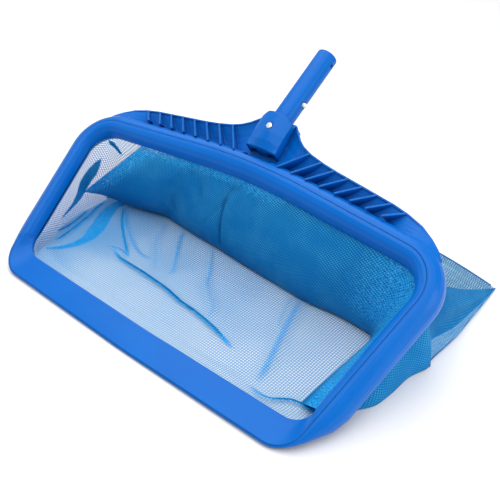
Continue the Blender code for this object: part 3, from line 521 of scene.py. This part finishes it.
def thickened(grid, layers, patches):
    """Doubles the cloth along tapering patches with soft borders."""
    for line, value in patches:
        centre = smooth_curve([Vector(p[:3]) * MM for p in line], 6)
        gap, place = distance_to_line(grid, centre)
        widths = [p[3] * MM for p in line]
        half = np.interp(place, np.linspace(0, 1, len(widths)), widths)
        inside = np.clip((half - gap) / SOFT_BORDER + 0.5, 0.0, 1.0)
        layers = layers + (value - layers) * inside
    return layers


def rippled(grid, height, size):
    """Soft unevenness of cloth that lies loosely."""
    up = normals_of(grid)
    rows, columns = grid.shape[:2]
    swell = np.array([[noise.noise(Vector(grid[r, c]) / size) for c in range(columns)] for r in range(rows)])
    edge = np.minimum.outer(np.minimum(np.arange(rows), np.arange(rows)[::-1]) / STILL_BORDER,
                            np.minimum(np.arange(columns), np.arange(columns)[::-1]) / STILL_BORDER)
    return grid + up * (swell * height * np.clip(edge, 0.0, 1.0))[..., None]


def run_lengths(grid, axis):
    """Distance along the cloth from the first line of the grid, along one axis."""
    steps = np.linalg.norm(np.diff(grid, axis=axis), axis=-1)
    start = np.zeros_like(np.take(steps, [0], axis=axis))
    return np.concatenate([start, np.cumsum(steps, axis=axis)], axis=axis)


def sheet_object(name, grid, flat, layers, cloth):
    """Mesh sheet through a grid of points, with its flat coordinates and its layers value."""
    rows, columns = grid.shape[:2]
    grid = grid.copy()
    grid[..., 2] = np.maximum(grid[..., 2], FLOOR_Z)
    index = np.arange(rows * columns).reshape(rows, columns)
    faces = quads(index[:-1, :-1], index[:-1, 1:], index[1:, 1:], index[1:, :-1])
    obj = mesh_object(name, grid, faces.tolist(), cloth)
    uv = obj.data.uv_layers.new(name="flat")
    uv.data.foreach_set("uv", flat.reshape(-1, 2)[faces.ravel()].ravel())
    shade = obj.data.attributes.new("layers", 'FLOAT', 'POINT')
    shade.data.foreach_set("value", np.clip(layers, 0.0, 1.0).ravel())
    return obj


# ---------------------------------------------------------------- floor sheet

LIP_END = share_of_hem(lambda p: p.x > 207 * MM)                    # the lip's corner starts to turn
RIGHT_END = share_of_hem(lambda p: p.y > 0.19 and p.x < 248 * MM)   # where the right wall leaves the hem
LEFT_END = share_of_hem(lambda p: p.y > 0.19 and p.x < 190 * MM)    # where the left wall does
LIP_CORNER_Y = along(HEM, LIP_END).y + 6 * MM
HEM_FRONT = [p for p in HEM if p.y < LIP_CORNER_Y and p.x < 225 * MM]

FLAT_COLUMNS, WALL_COLUMNS, FLOOR_ROWS = 118, 84, 240
WALL_ROW = 0.60                      # row where both walls leave the hem
ROW_PLACES = [(0.0, 0.0), (WALL_ROW, 0.53), (1.0, 1.0)]      # how far back each row lies
# lines on the floor where the side walls start to rise
RIGHT_FEET = [(232, 58, 3), (254, 96, 1), (268, 118, 1), (272, 142, 1), (275, 176, 1), (284, 204, 1),
              (280, 218, 1), (282, 250, 1), (283, 280, 1), (281, 330, 1), (CORNER_X, CORNER_Y, 2)]
LEFT_FEET = [(232, 58, 3), (248, 90, 1), (262, 120, 1), (268, 150, 1), (270, 190, 1), (270, 220, 1),
             (271, 250, 1), (272, 290, 1), (275, 330, 1), (277, 360, 1), (CORNER_X, CORNER_Y, 2)]
FEET_STEPS, EDGE_STEPS = 12, 40      # curve points between two listed ones, and on a stretched edge
SAG = 9.0 * MM                       # sag of the stretched edge between the frame's corner and the bag's
LIP_DROP = 26 * MM                   # length over which the sheet comes down from the lip to the floor
WALL_BULGE = 4.0 * MM
FULL_BULGE_HEIGHT = 30 * MM          # a lower wall bulges less

# how densely the cloth lies, part of it painted shade, as layers values and places
MIDDLE_LAYERS = 0.07                  # the middle of the sheet on the floor is a little denser and bluer,
MIDDLE_FRONT, MIDDLE_RIGHT = 85 * MM, 150 * MM      # from this line back and from that line to the left,
PAINTED_SHADE_LEFT = -140 * MM               # and left of here denser and darker still, as painted shade
STRIP_LAYERS = 0.74                  # strip of the floor that lies double beside the right wall
STRIP_X, STRIP_FRONT, STRIP_REAR = 210 * MM, 66 * MM, 208 * MM
PLEAT_START = 0.42                   # share of the right wall's height below the pleats
OPEN_WALL, PLEATED = 0.12, 0.82      # the right wall behind the arm, and what its pleats add
PLEAT_DEPTH, PLEAT_COUNT = 2.2 * MM, 4

# line in millimetres, width, height and how dark its crease is, which is partly cloth lying double in the
# fold and partly painted shade
FLOOR_FOLDS = [
    # long crease across the floor, and the hook at its left end
    ([(-158, 126, 1), (-136, 118, 1), (-104, 116, 1), (-71, 114, 1), (-37, 111, 1), (-5, 105, 1),
      (22, 103, 1), (52, 98, 1), (77, 92, 1), (98, 86, 1)], 4.5, 4.0, 1.5),
    ([(-172, 124, 1), (-157, 130, 1), (-142, 131, 1), (-129, 128, 1)], 3.0, 2.0, 0.6),
    # creases from the rear towards it
    ([(-230, 208, 1), (-207, 184, 1), (-181, 163, 1), (-156, 145, 1), (-134, 131, 1)], 3.0, 2.5, 1.4),
    ([(-227, 211, 1), (-199, 184, 1), (-170, 165, 1), (-144, 151, 1), (-119, 143, 1), (-98, 145, 1)],
     3.0, 2.5, 0.35),
    ([(-116, 222, 1), (-104, 201, 1), (-81, 172, 1), (-62, 147, 1), (-61, 137, 1)], 3.0, 2.5, 0.4),
    ([(-58, 219, 1), (-33, 189, 1), (-15, 166, 1), (-1, 147, 1)], 2.5, 2.5, 0.25),
    # soft swells between them
    ([(-150, 221, 1), (-130, 180, 1), (-100, 150, 1), (-78, 128, 1)], 6.0, 3.0, 0.12),
    ([(-20, 165, 1), (10, 140, 1), (32, 124, 1), (40, 104, 1)], 6.0, 3.0, 0.12),
    # right side, and the corner of the lip
    ([(103, 212, 1), (117, 169, 1), (130, 133, 1), (145, 92, 1), (153, 64, 1)], 9.0, 3.0, 0.25),
    ([(92, 205, 1), (104, 170, 1), (117, 144, 1)], 4.0, 3.0, 0.1),
    ([(150, 54, 2), (176, 50, 2), (189, 60, 1), (200, 67, 1), (214, 70, 1), (224, 73, 1)], 4.0, 3.0, 1.0),
    # foot of the left wall
    ([(-254, 102, 7), (-252, 110, 2), (-252, 124, 2), (-257, 147, 2), (-265, 167, 3)], 4.0, 2.5, 1.6),
    ([(-237, 87, 2), (-236, 98, 2), (-239, 115, 2), (-245, 137, 2), (-251, 160, 2), (-260, 182, 2),
      (-264, 204, 2)], 4.0, 2.5, 1.5),
    ([(-216, 122, 1), (-224, 149, 1), (-240, 176, 1), (-250, 200, 1)], 6.0, 3.0, 0.0),
    # up on the left wall
    ([(-247, 207, 106), (-238, 210, 102), (-232, 211, 97), (-226, 213, 90)], 3.0, 1.0, 1.2),
    ([(-270, 170, 19), (-269, 182, 28), (-266, 192, 35)], 5.0, 1.5, 0.06),
]
# patches that lie double, the second also painted darker as shade: line in millimetres with the half width
# at each point, and the layers value
FLOOR_PATCHES = [
    ([(-230, 66, 1, 1), (-214, 88, 1, 4), (-207, 117, 1, 8), (-216, 144, 1, 11), (-232, 172, 1, 10),
      (-243, 196, 1, 8), (-243, 210, 1, 8)], 0.6),
    # the pocket at the foot of the left wall: the inside of a fold, partly layered cloth and partly painted
    # shade
    ([(-258, 198, 77, 0.5), (-265, 186, 60, 8), (-268, 170, 45, 10), (-269, 158, 29, 7), (-267, 142, 19, 3),
      (-263, 120, 12, 1)], 0.78),
]


def edge_of(hem_end):
    """Edge of a side wall: up the arm's hem to its end, then stretched down to the bag's far corner."""
    up = hem_between(LIP_END, hem_end)
    tip = Vector(RIGHT_FEET[-1]) * MM
    down = []
    for i in range(1, EDGE_STEPS + 1):
        sag = Vector((0, 0, SAG * math.sin(math.pi * i / EDGE_STEPS)))
        down.append(up[-1].lerp(tip, i / EDGE_STEPS) - sag)
    return up, down


def side_wall(foot, edge):
    """Bulging curve from the foot of a side wall up to its edge."""
    high = max(edge.z - foot.z, 0.0)
    out = WALL_BULGE * min(1.0, high / FULL_BULGE_HEIGHT)
    return bezier(foot, (foot.x + out, foot.y + 0.1 * (edge.y - foot.y), foot.z + 0.06 * high),
                  (mix(foot.x, edge.x, 0.35) + out, mix(foot.y, edge.y, 0.6), foot.z + 0.6 * high),
                  edge, WALL_COLUMNS + 1)


def half_of_floor(hem_end, feet):
    """Right half of the floor sheet as an array, with its wall."""
    lip = along(HEM, 0.0)
    up, down = edge_of(hem_end)
    foot_line = smooth_curve([along(HEM, LIP_END)] + in_metres(feet), FEET_STEPS)
    t = np.linspace(0.0, 1.0, FLAT_COLUMNS + 1)
    rows = []
    for r in range(FLOOR_ROWS + 1):
        v = r / FLOOR_ROWS
        if v <= WALL_ROW:
            edge = along(up, v / WALL_ROW)
        else:
            edge = along(down, (v - WALL_ROW) / (1 - WALL_ROW))
        foot = along(foot_line, table(ROW_PLACES, v))
        middle_y = mix(lip.y, BAG_END, table(ROW_PLACES, v))
        middle_z = mix(lip.z, FLOOR_Z, smoothstep(0.0, LIP_DROP, middle_y - lip.y))
        x = t * foot.x
        y = middle_y + (foot.y - middle_y) * t ** END_BEND
        z = mix(middle_z, foot.z, t ** 8)
        # the first rows follow the lip's hem, and near the corner they leave it at once
        on_hem = np.interp(x, [p.x for p in HEM_FRONT], [p.y for p in HEM_FRONT])
        leaving = np.clip(v / (0.04 * (1.0 - t ** 6) + 0.004), 0.0, 1.0)
        y = mix(on_hem, y, leaving * leaving * (3.0 - 2.0 * leaving))
        row = np.stack([x, y, z], axis=1)
        wall = side_wall(Vector(row[-1]), edge)
        rows.append(np.concatenate([row, wall[1:]]))
    return np.array(rows)


def floor_layers(grid, v, t, right_wall):
    """How densely the floor sheet's cloth lies before its patches and folds, with painted shade on the left
    and on the right wall beside the arm.
    """
    x, y, z = grid[..., 0], grid[..., 1], grid[..., 2]
    layers = MIDDLE_LAYERS * ramp_up(y, MIDDLE_FRONT, 0.05) * ramp_down(x, MIDDLE_RIGHT, 0.1)
    layers *= ramp_down(z, 0.02, 0.015)
    # painted shade: the left of the sheet and its left wall get more layers, so they look denser and darker
    layers += 1.5 * MIDDLE_LAYERS * ramp_down(x, PAINTED_SHADE_LEFT, 0.06)
    # the right wall beside the arm lies single but is painted dense and dark, for cloth seen edge-on and for
    # painted shade behind it
    edge_on_shade_beside_arm = ramp_up(v, 0.06, 0.1) * ramp_down(v, WALL_ROW + 0.01, 0.02)
    pleats = ramp_up(v, WALL_ROW - 0.03, 0.02) * ramp_up(t, PLEAT_START, 0.015)
    layers[:, right_wall] = np.maximum(THICK_AND_SHADED * edge_on_shade_beside_arm, OPEN_WALL + PLEATED * pleats)
    strip = ramp_up(x, STRIP_X, 0.0015) * ramp_up(y, STRIP_FRONT, 0.004) * ramp_down(y, STRIP_REAR, 0.004)
    return np.maximum(layers, STRIP_LAYERS * strip)


def floor_sheet():
    right = half_of_floor(RIGHT_END, RIGHT_FEET)
    left = half_of_floor(LEFT_END, LEFT_FEET)[:, :0:-1] * (-1, 1, 1)
    grid = np.concatenate([left, right], axis=1)
    middle = FLAT_COLUMNS + WALL_COLUMNS
    span = run_lengths(grid, 1)
    flat = np.stack([span - span[:, middle:middle + 1], run_lengths(grid, 0)], axis=-1)
    v = np.linspace(0.0, 1.0, FLOOR_ROWS + 1)[:, None]
    t = np.linspace(0.0, 1.0, WALL_COLUMNS)[None, :]
    right_wall = slice(middle + FLAT_COLUMNS + 1, None)
    layers = floor_layers(grid, v, t, right_wall)
    fan = np.sin(t * PLEAT_COUNT * 2 * math.pi) * ramp_up(v, WALL_ROW, 0.1) * ramp_down(v, 1.0, 0.3)
    depth = PLEAT_DEPTH * fan * np.sin(t * math.pi)
    grid[:, right_wall] += normals_of(grid)[:, right_wall] * depth[..., None]
    layers = thickened(grid, layers, FLOOR_PATCHES)
    grid, layers = folded(rippled(grid, 1.2 * MM, 50 * MM), layers, FLOOR_FOLDS)
    return sheet_object("bag_floor_sheet", grid, flat, layers, CLOTH)


# ---------------------------------------------------------------- back sheet
# It hangs from the rear bar, rolls on the floor and goes on over the right arm's wall.

BACK_TOP_LEFT = LEFT_END + 0.006
BACK_TOP_RIGHT = share_of_hem(lambda p: p.x > 225 * MM and p.y > 60 * MM)
# where the sheet meets the floor, from the left arm round to the lip's right corner
BACK_FOOT_LINE = [(-257, 159, 40), (-254, 190, 20), (-226, 206, 10), (-166, 227, 6), (-140, 225, 5),
                  (-104, 220, 5), (-43, 218, 4), (32, 210, 4), (110, 206, 4), (148, 208, 4), (175, 208, 5),
                  (203, 205, 6), (210, 200, 5), (212, 183, 6), (212, 163, 7), (212, 133, 8), (212, 95, 10),
                  (213, 64, 12)]
# share along the hem and the share along the foot line below it
BACK_PAIRS = [(0.0, 0.0), (0.10, 0.10), (0.54, 0.57), (0.66, 0.745), (0.78, 0.82), (1.0, 1.0)]
BACK_COLUMNS, BACK_ROWS = 300, 110
HANG_BULGE, ROLL_BULGE = 12.0 * MM, 14.0 * MM      # forward bulge below the bar and at the floor
# folds as on the floor; their darker creases are painted shade, and the last two are soft patches of painted
# shade
BACK_FOLDS = [
    ([(-8, 226, 118), (-23, 223, 104), (-33, 218, 85), (-37, 214, 66), (-40, 212, 41), (-41, 216, 9)],
     6.0, 3.5, 0.14),
    ([(-100, 218, 112), (-90, 214, 104), (-77, 215, 90), (-87, 219, 59)], 12.0, 3.5, 0.06),
    ([(-124, 207, 82), (-124, 212, 58), (-141, 220, 27)], 12.0, 3.0, 0.06),
]


def back_column(u, head, foot):
    """One column of the back sheet: it hangs to the floor and is tucked under there."""
    drop = head - foot
    rolled = smoothstep(0.0, 0.06, u) * (1.0 - smoothstep(0.72, 0.82, u))
    hang = bezier(head, head + Vector((0, -HANG_BULGE * rolled, 0)) - drop * 0.36,
                  foot + drop * 0.26 + Vector((0, -ROLL_BULGE * rolled, 0)), foot, 90)
    tuck = bezier(foot, foot + Vector((0, 0.006, -0.002)) * rolled,
                  foot + Vector((0, 0.016, -0.003)) * rolled,
                  foot + Vector((0, 0.024, -0.002)) * rolled, 22)
    return evenly(np.concatenate([hang, tuck[1:]]), BACK_ROWS + 1)


def back_layers(u, v):
    """How densely the back sheet's cloth lies before its folds: dense and dark all over, partly for the
    bag's layers behind it and partly as painted shade, and darker still near its foot as painted shade.
    """
    near_left = ramp_down(u, 0.07, 0.07)
    near_top = ramp_down(v, 0.12, 0.12) * ramp_down(u, 0.42, 0.05)
    near_corner = ramp_up(u, 0.60, 0.08) * ramp_down(v, 0.85, 0.3)
    # painted shade: darker where the sheet rolls under at the floor
    shade_near_foot = ramp_up(v, 0.55, 0.3) * ramp_up(u, 0.0, 0.1)
    layers = THICK_AND_SHADED - 0.30 * near_left - 0.34 * near_top - 0.22 * near_corner + 0.09 * shade_near_foot
    return np.maximum(layers, 0.5)


def back_sheet():
    top = mirrored(hem_between(BACK_TOP_LEFT, 1.0)) + hem_between(1.0, BACK_TOP_RIGHT)[1:]
    bottom = smooth_curve(in_metres(BACK_FOOT_LINE), FEET_STEPS)
    columns = []
    for c in range(BACK_COLUMNS + 1):
        u = c / BACK_COLUMNS
        columns.append(back_column(u, along(top, u), along(bottom, table(BACK_PAIRS, u))))
    grid = np.array(columns).transpose(1, 0, 2)
    flat = np.stack([run_lengths(grid, 1), run_lengths(grid, 0)], axis=-1)
    u = np.linspace(0.0, 1.0, BACK_COLUMNS + 1)[None, :]
    v = np.linspace(0.0, 1.0, BACK_ROWS + 1)[:, None]
    grid, layers = folded(rippled(grid, 2.5 * MM, 70 * MM), back_layers(u, v), BACK_FOLDS)
    return sheet_object("bag_back_sheet", grid, flat, layers, CLOTH)


# ---------------------------------------------------------------- end sheet
# It is the upper layer of the bag's flat end.

END_COLUMNS, END_ROWS = 220, 90
END_RISE = 7.0 * MM
END_HALF_NEAR, END_HALF_FAR = 246 * MM, 277 * MM
END_START, END_START_BEND = 226 * MM, 12 * MM


def end_y(share):
    """How far back the bag's end line lies, at a share of the way from its middle to a far corner."""
    return BAG_END - (BAG_END - CORNER_Y * MM) * abs(share) ** END_BEND


def end_sheet():
    t = np.linspace(-1.0, 1.0, END_COLUMNS + 1)
    rows = []
    for r in range(END_ROWS + 1):
        v = r / END_ROWS
        x = t * mix(END_HALF_NEAR, END_HALF_FAR, v)
        y = mix(END_START + END_START_BEND * np.abs(t) ** 4, end_y(t), v)
        rise = END_RISE * math.sin(math.pi * min(1.0, v * 1.1 + 0.1)) ** 0.7
        z = FLOOR_Z + 1.5 * MM + rise * (1 - np.abs(t) ** 3)
        rows.append(np.stack([x, y, z], axis=1))
    grid = np.array(rows)
    flat = np.stack([run_lengths(grid, 1), run_lengths(grid, 0)], axis=-1)
    layers = np.zeros(grid.shape[:2])
    return sheet_object("bag_end_sheet", rippled(grid, 2.5 * MM, 60 * MM), flat, layers, END_CLOTH)


# ---------------------------------------------------------------- seam tapes

TAPE_RADIUS = 0.9 * MM
TAPE_SIDES = 8
TAPE_START = 206 * MM                # the side seams run from here to the bag's far corners
END_TAPE_STEPS = 40


def tape(name, node, points):
    """Stitched seam edge as a thin closed tube along points on the floor."""
    path = np.array([tuple(p) for p in points])
    path[:, 2] = np.maximum(path[:, 2], FLOOR_Z + TAPE_RADIUS)
    ahead = np.gradient(path, axis=0)
    ahead /= np.linalg.norm(ahead, axis=1, keepdims=True)
    side = np.cross(ahead, (0.0, 0.0, 1.0))
    side /= np.linalg.norm(side, axis=1, keepdims=True)
    up = np.cross(side, ahead)
    turns = np.linspace(0, 2 * math.pi, TAPE_SIDES, endpoint=False)[:, None]
    outward = side[:, None] * np.cos(turns) + up[:, None] * np.sin(turns)
    rings = path[:, None] + TAPE_RADIUS * outward
    index = np.arange(len(path) * TAPE_SIDES).reshape(len(path), TAPE_SIDES)
    beside = np.roll(index, -1, axis=1)
    faces = quads(index[:-1], beside[:-1], beside[1:], index[1:]).tolist()
    caps = [index[0][::-1].tolist(), index[-1].tolist()]
    obj = mesh_object(name, rings, faces + caps, TAPE)
    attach(obj, BODY)
    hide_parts(node)


def side_of_bag(feet):
    """Points of a side seam, on the right, up to the bag's far corner."""
    return [p for p in smooth_curve(in_metres(feet), FEET_STEPS) if p.y > TAPE_START]


def end_point(share):
    """Point of the bag's end line between its two far corners, share from -1 to 1."""
    return Vector((share * CORNER_X * MM, end_y(share), FLOOR_Z))


def seam_tapes():
    end_shares = [i / END_TAPE_STEPS for i in range(1 - END_TAPE_STEPS, END_TAPE_STEPS)]
    tape("bag_tape_right", "seam_tape_right", side_of_bag(RIGHT_FEET))
    tape("bag_tape_left", "seam_tape_left", mirrored(side_of_bag(LEFT_FEET)))
    tape("bag_tape_end", "seam_tape_end", [end_point(share) for share in end_shares])


# ---------------------------------------------------------------- stage

# name, place, target, size and watts
LAMPS = [
    ("top_box", (-0.9, 0.9, 1.7), (0.0, 0.0, 0.1), (1.6, 1.6), 18.0),
    ("overhead", (0.3, -0.5, 2.3), (0.2, -0.3, 0.0), (2.6, 2.6), 49.0),
    ("left_box", (-1.7, -0.5, 0.9), (0.0, 0.0, 0.1), (1.0, 1.4), 5.0),
    ("right_box", (1.6, 0.2, 0.6), (0.2, 0.0, 0.1), (0.8, 1.0), 9.0),
]
SKY_STRENGTH = 0.42
EYE = Vector((0.4977, -0.5613, 0.5611))
AZIMUTH, ELEVATION, ROLL = 0.7106, 0.6198, -0.002
LENS = 50.4                          # in millimetres, on a 36 mm sensor


def pale_floor():
    bpy.ops.mesh.primitive_plane_add(size=14.0, location=(0, 0, 0))
    floor = bpy.context.object
    floor.name = "floor"
    g = Graph("pale_floor")
    g.link(g.colours(g.noise(3.0), (0.86, 0.86, 0.87), (0.88, 0.88, 0.89)), g.shader.inputs["Base Color"])
    g.shader.inputs["Roughness"].default_value = 0.7
    g.shader.inputs["Specular IOR Level"].default_value = 0.2
    floor.data.materials.append(g.material)


def studio_light():
    scene = bpy.context.scene
    sky = bpy.data.worlds.new("studio")
    sky.use_nodes = True
    sky.node_tree.nodes["Background"].inputs["Color"].default_value = (1.0, 1.0, 1.0, 1.0)
    sky.node_tree.nodes["Background"].inputs["Strength"].default_value = SKY_STRENGTH
    scene.world = sky
    scene.view_settings.view_transform = 'Standard'
    for name, place, target, size, power in LAMPS:
        light = bpy.data.lights.new(name, 'AREA')
        light.shape = 'RECTANGLE'
        light.size, light.size_y = size
        light.energy = power
        lamp = placed(name, light)
        lamp.location = place
        lamp.rotation_euler = (Vector(target) - Vector(place)).to_track_quat('-Z', 'Y').to_euler()


def camera():
    data = bpy.data.cameras.new("camera")
    data.sensor_width = 36.0
    data.lens = LENS
    obj = placed("camera", data)
    forward = Vector((-math.sin(AZIMUTH) * math.cos(ELEVATION), math.cos(AZIMUTH) * math.cos(ELEVATION),
                      -math.sin(ELEVATION)))
    obj.location = EYE
    obj.rotation_euler = forward.to_track_quat('-Z', 'Y').to_euler()
    obj.rotation_euler.rotate_axis('Z', ROLL)
    bpy.context.scene.camera = obj


# ---------------------------------------------------------------- make everything

camera()
pale_floor()
studio_light()

FINISH = {
    "blue_plastic": moulded_plastic(),
    "screw_steel": metal("screw_steel", (0.78, 0.78, 0.78), 0.22, 500.0),
    "spring_steel": metal("spring_steel", (0.62, 0.63, 0.65), 0.3, 250.0),
    "white_acetal": white_acetal(),
    "spline_cord": braided_cord("braided_cord", (0.01, 0.05, 0.25), (0.02, 0.12, 0.45)),
}
for part in frame["record"]["subparts"]:
    if part["material_slot"] in FINISH:
        node = NODES[part["node"]]
        node.data.materials.clear()
        node.data.materials.append(FINISH[part["material_slot"]])

CLOTH = knitted_mesh("bag_mesh", 0.52, (0.17, 0.42, 0.70))
END_CLOTH = knitted_mesh("bag_end_mesh", 0.44, (0.02, 0.22, 0.40))
TAPE = braided_cord("seam_tape", (0.0, 0.07, 0.30), (0.0, 0.14, 0.50))
seam_tapes()
bag_floor = floor_sheet()
bag_back = back_sheet()
bag_end = end_sheet()
for sheet in (bag_floor, bag_back, bag_end):
    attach(sheet, BODY)
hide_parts("net_floor_panel")
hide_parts("net_back_panel")
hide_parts("net_end_panel")
